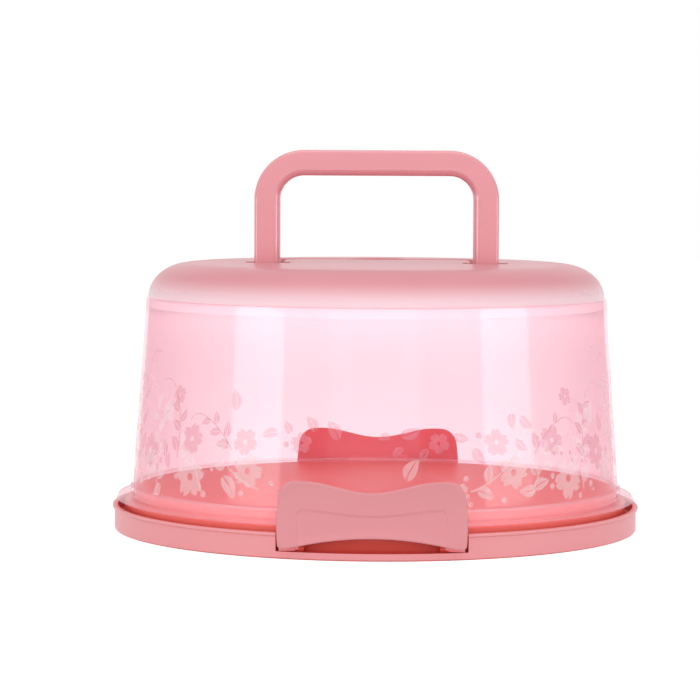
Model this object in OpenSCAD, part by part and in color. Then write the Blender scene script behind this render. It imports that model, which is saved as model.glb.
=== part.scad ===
// Round cake carrier: a shallow tray, a clear dome with an opaque cap, a folding handle and two latches.
// Origin on the surface it stands on, under the centre. +Z up, front latch at -Y, handle across X.

/* [Tray] */
// Outer diameter over the rolled rim
rim_d = 260; // [250:1:280]
// Height of the tray's skirt, up to the top of the rim
skirt_h = 12.1; // [11.5:0.1:13]
// Height of the raised floor that the cake stands on
floor_z = 20.3; // [20:0.1:20.8]
// Wall thickness of the tray
tray_wall = 2.2; // [1.8:0.1:2.4]

/* [Lid] */
// Height of the closed body, up to the flat top of the cap
body_h = 130.8; // [125:0.1:150]
// Height of the seam between the clear wall and the cap
seam_z = 114; // [100:0.5:114]
// Thickness of the clear wall
dome_wall_t = 1.8; // [1.5:0.1:2]
// How far the clear wall leans in from its foot to the seam
dome_lean = 6.6; // [4:0.1:8]
// Thickness of the clear flange
flange_t = 2; // [1.8:0.1:2]
// Width of the cap's rounded shoulder, seen from above
shoulder_w = 21; // [16:0.5:24]
// Thickness of the cap
cap_t = 2.2; // [1.8:0.1:2.4]

/* [Handle] */
// Outer width of the handle
handle_w = 120.4; // [110:0.2:126]
// Height of the handle's top above the cap
handle_rise = 55.5; // [45:0.5:60]
// Width of the bar, seen from the front
bar_w = 12.6; // [11:0.1:14]
// Depth of the bar, front to back
bar_d = 14; // [13:0.1:14]
// Outer radius of the handle's two bends
bend_r = 24.4; // [20:0.1:28]

/* [Latches] */
// Width of a latch
latch_w = 86.4; // [80:0.2:88]
// Height of a latch's shoulders
latch_top = 36.7; // [34:0.1:40]
// How far the middle of the top edge dips below the shoulders
latch_dip = 5; // [3:0.1:6]
// Rise of the arch in the bottom edge
latch_arch = 5.6; // [5.5:0.1:6.5]
// How far the top of a latch flares outwards
latch_flare = 3.4; // [2:0.1:4]
// Thickness of a latch
latch_t = 2.4; // [2.2:0.1:2.4]

/* [Hidden] */
$fn = 180;
rim_r = rim_d / 2;

// tray: the skirt, the rim's lip, the channel behind it, the ledge under the lid's flange, the ribs
skirt_r = rim_r - 1;
skirt_in_r = skirt_r - tray_wall;
skirt_round = 1;
rim_round = 0.6;
rim_lip_h = 1.2;
rim_under_h = 1.9;
lip_in_r = rim_r - 2.8;
channel_z = 6.4;
channel_round = 0.8;
ledge_bevel = 0.5;
ledge_r = rim_r - 6.4;
ledge_z = 14.7;
platform_r = rim_r - 11;
platform_round = 3;
rib_t = 1.6;
rib_z = 12;
rib_ring_r = 62;
hub_r = 24;
ribs = 12;
foot_gap = 0.4;

// lid
flange_z = 15;
flange_r = rim_r - 2;
flange_edge_h = 0.3;
flange_bevel = 1;
riser_foot_round = 0.9;
riser_top_round = 0.8;
riser_r = rim_r - 8.8;
riser_in_r = rim_r - 10.4;
riser_top = 21.8;
inner_ledge_z = 21;
wall_foot_z = 22.6;
wall_foot_r = rim_r - 9.95;
wall_seam_r = wall_foot_r - dome_lean;
seam_round = 0.5;
cap_r = wall_seam_r - 0.95;
cap_flat_r = cap_r - shoulder_w;
cap_lip_h = 5;
cap_lip_r = wall_seam_r - dome_wall_t - 0.1;

// handle, its pins, and the channel it folds into
pivot_z = body_h - bar_d / 2;
handle_top = body_h + handle_rise;
leg_x = (handle_w - bar_w) / 2;
bar_round = 3.6;
fold_reach = handle_top - pivot_z;
channel_gap = 0.8;
channel_depth = bar_d + 0.5;
trough_t = 2;
trough_drop = 0.3;
pocket_w = bar_w + 9;
pocket_y = bar_d / 2 + 1.2;
pocket_t = trough_t + 0.6;
scoop_r = 14.4;
scoop_y = fold_reach - 2;
scoop_depth = 5;
handle_pin_r = 2;
handle_pin_len = pocket_w + 4.6;
pin_end_gap = 0.2;
running_gap = 0.05;
seat_gap = 0.01;

// latches, their pockets and pins
latch_r = rim_r + 1.8;
latch_bottom = 4.9;
latch_foot_w = 4.6;
latch_foot_round = 2;
latch_side_h = latch_top - 12.5;
latch_side_lean = 0.5;
latch_corner_lean = 1.4;
latch_corner_r = 8.5;
latch_shoulder_in = 12;
flare_z = 19;
slot_half_w = latch_w / 2 + 0.7;
slot_floor = 3.5;
hinge_y = rim_r - 7.4;
hinge_z = 5.6;
ear_r = 1.8;
ear_t = 7.6;
ear_x = latch_w / 2 - 0.9 - ear_t;
lug_r = 1.8;
lug_t = 3.5;
lug_gap = 0.3;
lug_x = ear_x - lug_t - lug_gap;
latch_pin_r = 0.95;
latch_pin_len = ear_x + ear_t - lug_x;
claw_half_w = 16;
claw_gap = 0.35;
claw_tip_r = flange_r - 1.3;
claw_tip_h = 1;
claw_root_h = 4;

pink = "#E89AA2";
light_pink = "#E69CA6";

// points on an arc about c, from angle a0 to a1
function arc(c, r, a0, a1, n = 8) =
    [for (i = [0:n]) let (a = a0 + (a1 - a0) * i / n) [c[0] + r * cos(a), c[1] + r * sin(a)]];

// points on an ellipse about c with half-axes rx and rz, from angle a0 to a1
function ellipse_arc(c, rx, rz, a0, a1, n = 16) =
    [for (i = [0:n]) let (a = a0 + (a1 - a0) * i / n) [c[0] + rx * cos(a), c[1] + rz * sin(a)]];

// outer radius of a latch at height z
function flare(z) = latch_r + (z > flare_z ? latch_flare * pow((z - flare_z) / (latch_top - flare_z), 2) : 0);

module mirrored_x() {
    children();
    mirror([1, 0, 0]) children();
}

// --- tray ---

// a section through the tray's shell, from the centre out
module tray_section() {
    polygon(concat(
        [[0, floor_z]],
        arc([platform_r - platform_round, floor_z - platform_round], platform_round, 90, 0),
        [[platform_r, ledge_z], [ledge_r - ledge_bevel, ledge_z], [ledge_r, ledge_z - ledge_bevel]],
        arc([ledge_r + channel_round, channel_z + channel_round], channel_round, 180, 270, 4),
        arc([lip_in_r - channel_round, channel_z + channel_round], channel_round, 270, 360, 4),
        arc([lip_in_r + rim_round, skirt_h - rim_round], rim_round, 180, 90, 4),
        arc([rim_r - rim_round, skirt_h - rim_round], rim_round, 90, 0, 4),
        [[rim_r, skirt_h - rim_lip_h], [skirt_r, skirt_h - rim_under_h]],
        arc([skirt_r - skirt_round, skirt_round], skirt_round, 0, -90, 5),
        [[skirt_in_r, 0], [skirt_in_r, channel_z - tray_wall], [ledge_r - tray_wall, channel_z - tray_wall],
         [ledge_r - tray_wall, ledge_z - tray_wall], [platform_r - tray_wall, ledge_z - tray_wall],
         [platform_r - tray_wall, floor_z - tray_wall], [0, floor_z - tray_wall]]
    ));
}

// everything between two radii and two heights
module ring(r_in, r_out, z0, z1) {
    rotate_extrude() translate([r_in, z0]) square([r_out - r_in, z1 - z0]);
}

// stiffening ribs under the floor
module floor_ribs() {
    rib_top = floor_z - tray_wall / 2;
    for (i = [0:ribs - 1])
        rotate(360 / ribs * i) translate([hub_r - rib_t / 2, -rib_t / 2, rib_z])
            cube([platform_r - tray_wall / 2 - hub_r, rib_t, rib_top - rib_z]);
    ring(hub_r - rib_t, hub_r, rib_z, rib_top);
    ring(rib_ring_r - rib_t, rib_ring_r, rib_z, rib_top);
}

// the slot a latch stands in: the skirt above a low strip, and the channel behind it
module latch_slot() {
    intersection() {
        union() {
            ring(ledge_r, rim_r + 1, slot_floor, ledge_z + 1);
            ring(ledge_r, skirt_in_r, -1, ledge_z);
        }
        translate([-slot_half_w, -rim_r - 2, -2]) cube([2 * slot_half_w, rim_r, ledge_z + 4]);
    }
}

// the wall behind the slot, down almost to the surface the tray stands on
module slot_back_wall() {
    intersection() {
        ring(ledge_r - tray_wall + 0.2, ledge_r - 0.2, foot_gap, ledge_z - 1);
        translate([-slot_half_w - tray_wall, -rim_r, 0]) cube([2 * (slot_half_w + tray_wall), rim_r, ledge_z]);
    }
}

// the right-hand end of the slot
module slot_end() {
    intersection() {
        ring(ledge_r - tray_wall / 2, skirt_in_r + tray_wall / 2, foot_gap, channel_z - 1);
        translate([slot_half_w, -rim_r, 0]) cube([tray_wall, rim_r, ledge_z]);
    }
}

// the right-hand lug, which holds one hinge pin
module hinge_lug() {
    difference() {
        union() {
            translate([lug_x, -hinge_y, hinge_z]) rotate([0, 90, 0]) cylinder(r = lug_r, h = lug_t);
            intersection() {
                ring(ledge_r - tray_wall / 2, rim_r, foot_gap, hinge_z + lug_r);
                translate([lug_x, -hinge_y, 0]) cube([lug_t, rim_r / 2, ledge_z]);
            }
        }
        translate([lug_x - 1, -hinge_y, hinge_z]) rotate([0, 90, 0])
            cylinder(r = latch_pin_r + seat_gap, h = lug_t + 2);
    }
}

module base_tray() {
    color(pink) {
        difference() {
            rotate_extrude() tray_section();
            for (a = [0, 180]) rotate(a) latch_slot();
        }
        floor_ribs();
        for (a = [0, 180]) rotate(a) {
            slot_back_wall();
            mirrored_x() {
                slot_end();
                hinge_lug();
            }
        }
    }
}

// --- lid ---

module dome_section() {
    flange_top = flange_z + flange_t;
    polygon(concat(
        [[riser_in_r, flange_z], [flange_r - flange_edge_h, flange_z], [flange_r, flange_z + flange_edge_h],
         [flange_r - flange_bevel, flange_top]],
        arc([riser_r + riser_foot_round, flange_top + riser_foot_round], riser_foot_round, 270, 180, 4),
        arc([riser_r - riser_top_round, riser_top - riser_top_round], riser_top_round, 0, 70, 4),
        [[wall_foot_r, wall_foot_z]],
        arc([wall_seam_r - seam_round, seam_z - seam_round], seam_round, 0, 90, 4),
        [[wall_seam_r - dome_wall_t, seam_z], [wall_foot_r - dome_wall_t, wall_foot_z],
         [wall_foot_r - dome_wall_t, inner_ledge_z], [riser_in_r, inner_ledge_z]]
    ));
}

module dome_wall() {
    color("#FBE0E8", 0.45) rotate_extrude() dome_section();
}

module cap_section() {
    rise = body_h - seam_z;
    polygon(concat(
        [[0, body_h]],
        ellipse_arc([cap_flat_r, seam_z], shoulder_w, rise, 90, 0),
        [[cap_lip_r, seam_z], [cap_lip_r, seam_z - cap_lip_h], [cap_lip_r - cap_t, seam_z - cap_lip_h]],
        ellipse_arc([cap_flat_r, seam_z], cap_lip_r - cap_t - cap_flat_r, rise - cap_t, 0, 90),
        [[0, body_h - cap_t]]
    ));
}

// a rectangle from y0 to y1 whose far corners have radius r
module far_rounded(half_w, y0, y1, r) {
    translate([-half_w, y0]) square([2 * half_w, y1 - r - y0]);
    translate([-half_w + r, y1 - r - 0.01]) square([2 * (half_w - r), r + 0.01]);
    for (s = [-1, 1]) translate([s * (half_w - r), y1 - r]) circle(r = r);
}

// the folded handle seen from above, grown by g all round
module folded_plan(g) {
    difference() {
        far_rounded(handle_w / 2 + g, -bar_d / 2 - g, fold_reach + g, bend_r + g);
        far_rounded(handle_w / 2 - bar_w - g, -bar_d, fold_reach - bar_w - g, bend_r - bar_w - g);
    }
}

// the wider pocket round each foot, grown by g
module foot_pockets(g) {
    for (s = [-1, 1]) translate([s * leg_x - pocket_w / 2 - g, -pocket_y - g])
        square([pocket_w + 2 * g, 2 * (pocket_y + g)]);
}

// the room the folded handle needs, with a finger scoop behind the middle of its bar
module handle_channel() {
    translate([0, 0, body_h - channel_depth]) linear_extrude(channel_depth + 1) {
        folded_plan(channel_gap);
        foot_pockets(0);
    }
    translate([0, scoop_y, body_h - scoop_depth]) cylinder(r = scoop_r, h = scoop_depth + 1);
}

// the walls and floor of that channel, inside the cap
module channel_trough() {
    trough_z = body_h - channel_depth - trough_t;
    translate([0, 0, trough_z]) linear_extrude(channel_depth + trough_t - trough_drop) {
        folded_plan(channel_gap + trough_t);
        foot_pockets(pocket_t);
    }
    translate([0, scoop_y, body_h - scoop_depth - trough_t])
        cylinder(r = scoop_r + trough_t, h = scoop_depth + trough_t - trough_drop);
}

// a rod of radius r along each handle pin, longer than the pin by g at both ends
module handle_pin_rods(r, g) {
    for (s = [-1, 1]) translate([s * leg_x - handle_pin_len / 2 - g, 0, pivot_z]) rotate([0, 90, 0])
        cylinder(r = r, h = handle_pin_len + 2 * g);
}

module top_cap() {
    color(pink) difference() {
        union() {
            rotate_extrude() cap_section();
            channel_trough();
        }
        handle_channel();
        handle_pin_rods(handle_pin_r + seat_gap, pin_end_gap);
    }
}

// --- handle ---

// the bar's section: bar_w by bar_d with round corners
module bar_section() {
    w = bar_w / 2 - bar_round;
    d = bar_d / 2 - bar_round;
    square([2 * (w + bar_round), 2 * d], center = true);
    square([2 * w, 2 * (d + bar_round)], center = true);
    for (sx = [-1, 1], sy = [-1, 1]) translate([sx * w, sy * d]) circle(r = bar_round, $fn = 48);
}

module handle_leg() {
    leg_h = handle_top - bend_r - pivot_z;
    intersection() {
        translate([leg_x, 0, pivot_z - bar_d / 2]) linear_extrude(leg_h + bar_d / 2) bar_section();
        union() {
            translate([0, 0, pivot_z]) rotate([0, 90, 0]) cylinder(r = bar_d / 2, h = handle_w);
            translate([0, -bar_d, pivot_z]) cube([handle_w, 2 * bar_d, leg_h]);
        }
    }
}

module handle_bend() {
    translate([handle_w / 2 - bend_r, 0, handle_top - bend_r]) rotate([90, 0, 0])
        rotate_extrude(angle = 90) translate([bend_r - bar_w / 2, 0]) bar_section();
}

module handle() {
    color(light_pink) difference() {
        union() {
            mirrored_x() {
                handle_leg();
                handle_bend();
            }
            translate([-(handle_w / 2 - bend_r), 0, handle_top - bar_w / 2]) rotate([0, 90, 0])
                linear_extrude(handle_w - 2 * bend_r) bar_section();
        }
        handle_pin_rods(handle_pin_r + running_gap, pin_end_gap);
    }
}

module handle_pin(side) {
    color("silver") translate([side * leg_x - handle_pin_len / 2, 0, pivot_z]) rotate([0, 90, 0])
        cylinder(r = handle_pin_r, h = handle_pin_len);
}

module handle_pin_left() { handle_pin(-1); }
module handle_pin_right() { handle_pin(1); }

// --- latches ---

// half of a latch's outline seen from the front, x to the right and height up: arch, foot, side, shoulder, dip
function latch_half() = concat(
    [for (i = [0:10]) let (k = i / 10)
        [(latch_w / 2 - latch_foot_w) * k, latch_bottom + latch_arch * (1 - k * k)]],
    arc([latch_w / 2 - latch_foot_round, latch_bottom + latch_foot_round], latch_foot_round, -90, 0, 5),
    [[latch_w / 2 - latch_side_lean, latch_side_h]],
    arc([latch_w / 2 - latch_corner_lean - latch_corner_r, latch_top - latch_corner_r], latch_corner_r, 4, 90),
    [for (i = [0:12]) let (k = 1 - i / 12)
        [(latch_w / 2 - latch_shoulder_in) * k, latch_top - latch_dip * (0.5 + 0.5 * cos(180 * k))]]
);

module latch_outline() {
    half = latch_half();
    polygon(half);
    mirror([1, 0]) polygon(half);
}

module latch_skin_section() {
    polygon(concat(
        [for (i = [0:12]) let (z = flare_z + (latch_top + 1 - flare_z) * i / 12) [flare(z), z]],
        [for (i = [12:-1:0]) let (z = flare_z + (latch_top + 1 - flare_z) * i / 12) [flare(z) - latch_t, z]],
        [[latch_r - latch_t, 2], [latch_r, 2]]
    ));
}

// the bead that snaps over the flange's bevelled edge, claw_gap away from it
module claw_section() {
    slope = (flange_t - flange_edge_h) / flange_bevel;
    foot = flange_z + flange_edge_h + claw_gap / 2;
    root_r = latch_r - latch_t + 0.3;
    tip_z = foot + (flange_r + claw_gap - claw_tip_r) * slope;
    polygon([
        [root_r, foot - (root_r - flange_r - claw_gap) * slope],
        [claw_tip_r, tip_z], [claw_tip_r, tip_z + claw_tip_h], [root_r, tip_z + claw_root_h]
    ]);
}

module latch() {
    difference() {
        union() {
            intersection() {
                rotate_extrude() latch_skin_section();
                translate([0, -rim_r / 2, 0]) rotate([90, 0, 0]) linear_extrude(rim_r) latch_outline();
            }
            intersection() {
                rotate_extrude() claw_section();
                translate([-claw_half_w, -rim_r - 2, 0]) cube([2 * claw_half_w, rim_r, latch_top]);
            }
            mirrored_x() translate([ear_x, -hinge_y, hinge_z]) rotate([0, 90, 0]) cylinder(r = ear_r, h = ear_t);
        }
        mirrored_x() translate([ear_x - 1, -hinge_y, hinge_z]) rotate([0, 90, 0])
            cylinder(r = latch_pin_r + running_gap, h = ear_t + 2);
    }
}

module latch_pin(side) {
    color("silver") translate([side > 0 ? lug_x : -lug_x - latch_pin_len, -hinge_y, hinge_z])
        rotate([0, 90, 0]) cylinder(r = latch_pin_r, h = latch_pin_len);
}

module front_latch() { color(light_pink) latch(); }
module rear_latch() { color(light_pink) rotate(180) latch(); }
module front_latch_pin_left() { latch_pin(-1); }
module front_latch_pin_right() { latch_pin(1); }
module rear_latch_pin_left() { rotate(180) latch_pin(1); }
module rear_latch_pin_right() { rotate(180) latch_pin(-1); }

base_tray();
dome_wall();
top_cap();
handle();
handle_pin_left();
handle_pin_right();
front_latch();
front_latch_pin_left();
front_latch_pin_right();
rear_latch();
rear_latch_pin_left();
rear_latch_pin_right();
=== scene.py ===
import math
import random

import bpy
from mathutils import Matrix, Vector


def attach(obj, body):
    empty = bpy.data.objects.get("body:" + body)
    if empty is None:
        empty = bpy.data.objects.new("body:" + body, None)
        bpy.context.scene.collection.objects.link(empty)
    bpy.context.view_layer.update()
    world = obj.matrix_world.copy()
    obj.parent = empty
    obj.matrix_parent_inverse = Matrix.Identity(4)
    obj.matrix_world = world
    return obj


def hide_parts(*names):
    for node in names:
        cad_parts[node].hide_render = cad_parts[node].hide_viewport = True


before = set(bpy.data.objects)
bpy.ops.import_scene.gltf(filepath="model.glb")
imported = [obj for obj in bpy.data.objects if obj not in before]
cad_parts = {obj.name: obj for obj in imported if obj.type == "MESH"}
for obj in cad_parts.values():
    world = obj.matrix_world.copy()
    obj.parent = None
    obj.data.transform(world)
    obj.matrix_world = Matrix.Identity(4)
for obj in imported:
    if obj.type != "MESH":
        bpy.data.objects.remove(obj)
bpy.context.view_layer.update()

bpy.ops.object.select_all(action="DESELECT")

# Base tray: one injection moulding in polypropylene, dyed pink all through. It has a low skirt with a
# thin rolled lip, a channel behind it, the ledge for the lid's flange, and the raised floor for the cake.
# The imported piece is kept. The skirt's mould is etched to a paler satin. The rest is polished, and painted
# a deeper red that stands in for the red light under the lid.
MM = 0.001
SKIRT_PINK = "#EC9CA0"
# painted red light: the deeper red inside the skirt, with soft flow clouds in it
TRAY_PAINTED_RED_LIGHT = "#F0776E"
TRAY_FLOW_AND_RED_LIGHT = "#EA6F67"
# painted shade in the channel and the latch pockets
CHANNEL_PAINTED_SHADE = "#D2493F"
CHANNEL_Z = 7 * MM
LEDGE_Z = 14.5 * MM
SKIRT_ROUGH = 0.38
TRAY_ROUGH = 0.3
TRAY_SPECULAR = 0.25
PASSED_RED = "#FF9E98"
TRAY_GRAIN = 0.6 * MM
TRAY_GRAIN_DEPTH = 0.012 * MM
LIP_INNER_R = 128.75 * MM
ETCH_EDGE = 0.1 * MM
FLOW_CLOUD = 38 * MM
POLISH_PATCH = 7 * MM
POLISH_SMOOTHER = 0.05
POLISH_ROUGHER = 0.07
SKIN_STRENGTH = 0.3
POLYPROPYLENE_IOR = 1.49


def linear(code):
    """An sRGB hex colour as linear red, green, blue and alpha."""
    parts = [int(code[i:i + 2], 16) / 255 for i in (1, 3, 5)]
    return [c / 12.92 if c <= 0.04045 else ((c + 0.055) / 1.055) ** 2.4 for c in parts] + [1.0]


def add(tree, kind, settings, inputs):
    """A new node with its settings, and its inputs set to values or linked to outputs."""
    node = tree.nodes.new(kind)
    for name, value in settings.items():
        setattr(node, name, value)
    for name, value in inputs.items():
        if isinstance(value, bpy.types.NodeSocket):
            tree.links.new(value, node.inputs[name])
        else:
            node.inputs[name].default_value = value
    return node


def empty_material(name):
    """A material whose node tree is still empty."""
    material = bpy.data.materials.new(name)
    material.use_nodes = True
    material.node_tree.nodes.clear()
    return material


def moulded_polypropylene(name, colour, flow_colour, rough, grain, grain_depth, specular, zones=(),
                          passes=0.0):
    """Dyed polypropylene from a steel mould. The dye has soft flow clouds, the gloss changes a little
    where the mould was polished, and the skin has a grain too fine to see but in a highlight. A zone
    has its own colour and gloss: it is (share of the zone from the place, colour, roughness). Each face
    of a thin wall passes a share of the light, which comes out red, to what it would shade."""
    material = empty_material(name)
    tree = material.node_tree
    place = add(tree, "ShaderNodeTexCoord", {}, {}).outputs["Object"]
    clouds = add(tree, "ShaderNodeTexNoise", {}, {"Vector": place, "Scale": 1 / FLOW_CLOUD, "Detail": 3.0})
    dye = add(tree, "ShaderNodeMix", {"data_type": "RGBA"},
              {0: clouds.outputs[0], 6: linear(colour), 7: linear(flow_colour)})
    polish = add(tree, "ShaderNodeTexNoise", {}, {"Vector": place, "Scale": 1 / POLISH_PATCH, "Detail": 4.0})
    gloss = add(tree, "ShaderNodeMapRange", {},
                {0: polish.outputs[0], 3: rough - POLISH_SMOOTHER, 4: rough + POLISH_ROUGHER})
    skin = add(tree, "ShaderNodeTexNoise", {}, {"Vector": place, "Scale": 1 / grain, "Detail": 2.0})
    relief = add(tree, "ShaderNodeBump", {},
                 {"Strength": SKIN_STRENGTH, "Distance": grain_depth, "Height": skin.outputs[0]})
    for share_of, zone_colour, zone_rough in zones:
        share = share_of(tree, place)
        dye = add(tree, "ShaderNodeMix", {"data_type": "RGBA"},
                  {0: share, 6: dye.outputs[2], 7: linear(zone_colour)})
        gloss = add(tree, "ShaderNodeMix", {}, {0: share, 2: gloss.outputs[0], 3: zone_rough})
    surface = add(tree, "ShaderNodeBsdfPrincipled", {}, {
        "Base Color": dye.outputs[2], "Roughness": gloss.outputs[0], "Normal": relief.outputs[0],
        "IOR": POLYPROPYLENE_IOR, "Specular IOR Level": specular})
    if passes:
        path = add(tree, "ShaderNodeLightPath", {}, {})
        share = add(tree, "ShaderNodeMath", {"operation": "MULTIPLY"},
                    {0: path.outputs["Is Shadow Ray"], 1: passes})
        passed = add(tree, "ShaderNodeBsdfTransparent", {}, {"Color": linear(PASSED_RED)})
        surface = add(tree, "ShaderNodeMixShader", {},
                      {0: share.outputs[0], 1: surface.outputs[0], 2: passed.outputs[0]})
    add(tree, "ShaderNodeOutputMaterial", {}, {"Surface": surface.outputs[0]})
    return material


def finish_with(piece, material):
    """Gives the whole piece one material."""
    piece.data.materials.clear()
    piece.data.materials.append(material)


def height_share(none_z, full_z, blend="SMOOTHSTEP"):
    """A zone that depends on the height alone: its share rises from 0 at none_z to 1 at full_z."""
    def share_of(tree, place):
        height = add(tree, "ShaderNodeSeparateXYZ", {}, {0: place}).outputs[2]
        return add(tree, "ShaderNodeMapRange", {"interpolation_type": blend},
                   {0: height, 1: none_z, 2: full_z}).outputs[0]
    return share_of


def axis_distance(tree, axes):
    """The distance to the carrier's axis, from a place split into its axes."""
    flat = add(tree, "ShaderNodeCombineXYZ", {}, {0: axes.outputs[0], 1: axes.outputs[1]})
    return add(tree, "ShaderNodeVectorMath", {"operation": "LENGTH"}, {0: flat.outputs[0]}).outputs["Value"]


def skirt_share(tree, place):
    """1 on the skirt and its lip, 0 inside them, from the distance to the carrier's axis."""
    axes = add(tree, "ShaderNodeSeparateXYZ", {}, {0: place})
    return add(tree, "ShaderNodeMapRange", {},
               {0: axis_distance(tree, axes), 1: LIP_INNER_R, 2: LIP_INNER_R + ETCH_EDGE}).outputs[0]


# painted shade: the channel and the latch pockets turn a darker red from the ledge down
tray_plastic = moulded_polypropylene("moulded_polypropylene_tray", TRAY_PAINTED_RED_LIGHT, TRAY_FLOW_AND_RED_LIGHT, TRAY_ROUGH,
                                     TRAY_GRAIN, TRAY_GRAIN_DEPTH, TRAY_SPECULAR,
                                     ((height_share(LEDGE_Z, CHANNEL_Z), CHANNEL_PAINTED_SHADE, TRAY_ROUGH),
                                      (skirt_share, SKIRT_PINK, SKIRT_ROUGH)))
finish_with(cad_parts["base_tray"], tray_plastic)

# Hinge pins: short lengths of drawn steel wire, pressed into the tray's lugs and into the walls of the
# cap's foot pockets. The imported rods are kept. Drawing leaves fine bright lines along the wire.
STEEL_LIGHT = "#C9CBCD"
STEEL_GREY = "#AEB1B4"
STEEL_ROUGH = (0.18, 0.42)
DRAW_LINE = 0.25 * MM
DRAW_LENGTH = 12 * MM
DRAW_DEPTH = 0.01 * MM
DRAW_STRENGTH = 0.4


def drawn_steel():
    """Bright drawn wire: a metal with lines along X, where every pin lies, in its roughness and relief."""
    material = empty_material("drawn_steel_wire")
    tree = material.node_tree
    place = add(tree, "ShaderNodeTexCoord", {}, {}).outputs["Object"]
    along = add(tree, "ShaderNodeMapping", {},
                {"Vector": place, "Scale": (1 / DRAW_LENGTH, 1 / DRAW_LINE, 1 / DRAW_LINE)})
    lines = add(tree, "ShaderNodeTexNoise", {}, {"Vector": along.outputs[0], "Scale": 1.0, "Detail": 3.0})
    gloss = add(tree, "ShaderNodeMapRange", {},
                {0: lines.outputs[0], 3: STEEL_ROUGH[0], 4: STEEL_ROUGH[1]})
    tone = add(tree, "ShaderNodeMix", {"data_type": "RGBA"},
               {0: lines.outputs[0], 6: linear(STEEL_LIGHT), 7: linear(STEEL_GREY)})
    relief = add(tree, "ShaderNodeBump", {},
                 {"Strength": DRAW_STRENGTH, "Distance": DRAW_DEPTH, "Height": lines.outputs[0]})
    surface = add(tree, "ShaderNodeBsdfPrincipled", {}, {
        "Base Color": tone.outputs[2], "Roughness": gloss.outputs[0], "Normal": relief.outputs[0],
        "Metallic": 1.0})
    add(tree, "ShaderNodeOutputMaterial", {}, {"Surface": surface.outputs[0]})
    return material


steel = drawn_steel()
for node_name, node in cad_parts.items():
    if "_pin_" in node_name:
        finish_with(node, steel)

# Latches: the front and the rear one are the same moulding in pink polypropylene with a fine satin skin.
# Each is a bow-tie plate curved like the tray's rim, with a sunk panel. Behind it are two ears, which
# turn on the short pins, and a bead, which snaps over the edge of the lid's flange.
LATCH_PINK = "#E1979B"
LATCH_FLOW = "#DD9197"
# painted red light on the latch's back
LATCH_BACK_PAINTED_RED_LIGHT = "#F88384"
LATCH_SPECULAR = 0.3
LATCH_ROUGH = 0.36
LATCH_GRAIN = 0.45 * MM
LATCH_GRAIN_DEPTH = 0.016 * MM
LATCH_CREASE = 45
LATCH_R = 131.8 * MM
LATCH_T = 2.4 * MM
LATCH_HALF = 43.2 * MM
LATCH_FOOT_Z = 4.9 * MM
LATCH_FOOT_HALF = 38.6 * MM
LATCH_FOOT_R = 2 * MM
LATCH_ARCH = 5.6 * MM
LATCH_TOP_Z = 36.7 * MM
LATCH_TOP_HALF = 31.2 * MM
LATCH_DIP = 5 * MM
LATCH_CORNER_R = 8.5 * MM
LATCH_CORNER_X = 34.1 * MM
LATCH_CORNER_END = math.radians(4)
LATCH_SIDE_BULGE = 0.6 * MM
FLARE_Z = 19 * MM
FLARE = 3.4 * MM
PANEL_HALF = 34 * MM
PANEL_SIDE_Z = 23.4 * MM
PANEL_MID_Z = 20.8 * MM
PANEL_DEPTH = 0.55 * MM
PANEL_STEP_W = 0.9 * MM
PANEL_CORNER_R = 3 * MM
PANEL_FADE = 4 * MM
LATCH_EDGE = 1.0 * MM
LATCH_BACK_EDGE = 0.5 * MM
HINGE = Vector((0, -122.6, 5.6)) * MM
EAR_R = 1.8 * MM
EAR_X = 34.7 * MM
EAR_T = 7.6 * MM
EAR_BORE = 1.0 * MM
BORE_SPARE = 1 * MM
ROD_SIDES = 32
CLAW_SECTION = ((129.7, 13.25), (126.7, 18.35), (126.7, 19.35), (129.7, 22.3))
CLAW_HALF_TURN = math.radians(7.15)
CLAW_STEPS = 18
WELD = 0.001 * MM
# stretches of (start, end, steps) across half of the latch and up it, close where it bends most
LATCH_COLUMNS = ((LATCH_HALF, 41.9 * MM, 8), (41.9 * MM, 34.9 * MM, 7),
                 (34.9 * MM, 30.6 * MM, 15), (30.6 * MM, 0.0, 24))
LATCH_ROWS = ((0, 0.045, 6), (0.045, 0.4, 8), (0.4, 0.6, 12), (0.6, 0.955, 9), (0.955, 1, 6))
ROW_FADE = 0.1
SLOPE_STEP = 0.01


def eased(share):
    """0 to 1 with a soft start and a soft end."""
    share = min(max(share, 0.0), 1.0)
    return share * share * (3 - 2 * share)


def stops(*stretches):
    """Places along a line, from stretches of (start, end, steps)."""
    places = [start + (end - start) * i / steps for start, end, steps in stretches for i in range(steps)]
    return places + [stretches[-1][1]]


def latch_low(s):
    """The latch's bottom edge at share s of its half-width: the arch, the foot and its round corner."""
    x = abs(s) * LATCH_HALF
    if x < LATCH_FOOT_HALF:
        return x, LATCH_FOOT_Z + LATCH_ARCH * (1 - (x / LATCH_FOOT_HALF) ** 2)
    past = max(x - (LATCH_HALF - LATCH_FOOT_R), 0.0)
    return x, LATCH_FOOT_Z + LATCH_FOOT_R - math.sqrt(max(LATCH_FOOT_R ** 2 - past ** 2, 0.0))


def latch_high(s):
    """The latch's top edge at share s of its half-width: the dip, the shoulder and its round corner."""
    x = abs(s) * LATCH_HALF
    if x < LATCH_TOP_HALF:
        return x, LATCH_TOP_Z - LATCH_DIP * (0.5 + 0.5 * math.cos(math.pi * x / LATCH_TOP_HALF))
    if x < LATCH_CORNER_X:
        return x, LATCH_TOP_Z
    share = (x - LATCH_CORNER_X) / (LATCH_HALF - LATCH_CORNER_X)
    angle = math.pi / 2 + (LATCH_CORNER_END - math.pi / 2) * share
    return (LATCH_CORNER_X + LATCH_CORNER_R * math.cos(angle),
            LATCH_TOP_Z - LATCH_CORNER_R + LATCH_CORNER_R * math.sin(angle))


def panel_top(x):
    """Height of the top edge of the sunk panel at x."""
    share = min(abs(x) / PANEL_HALF, 1.0)
    return PANEL_MID_Z + (PANEL_SIDE_Z - PANEL_MID_Z) * (0.5 - 0.5 * math.cos(math.pi * share))


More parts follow.
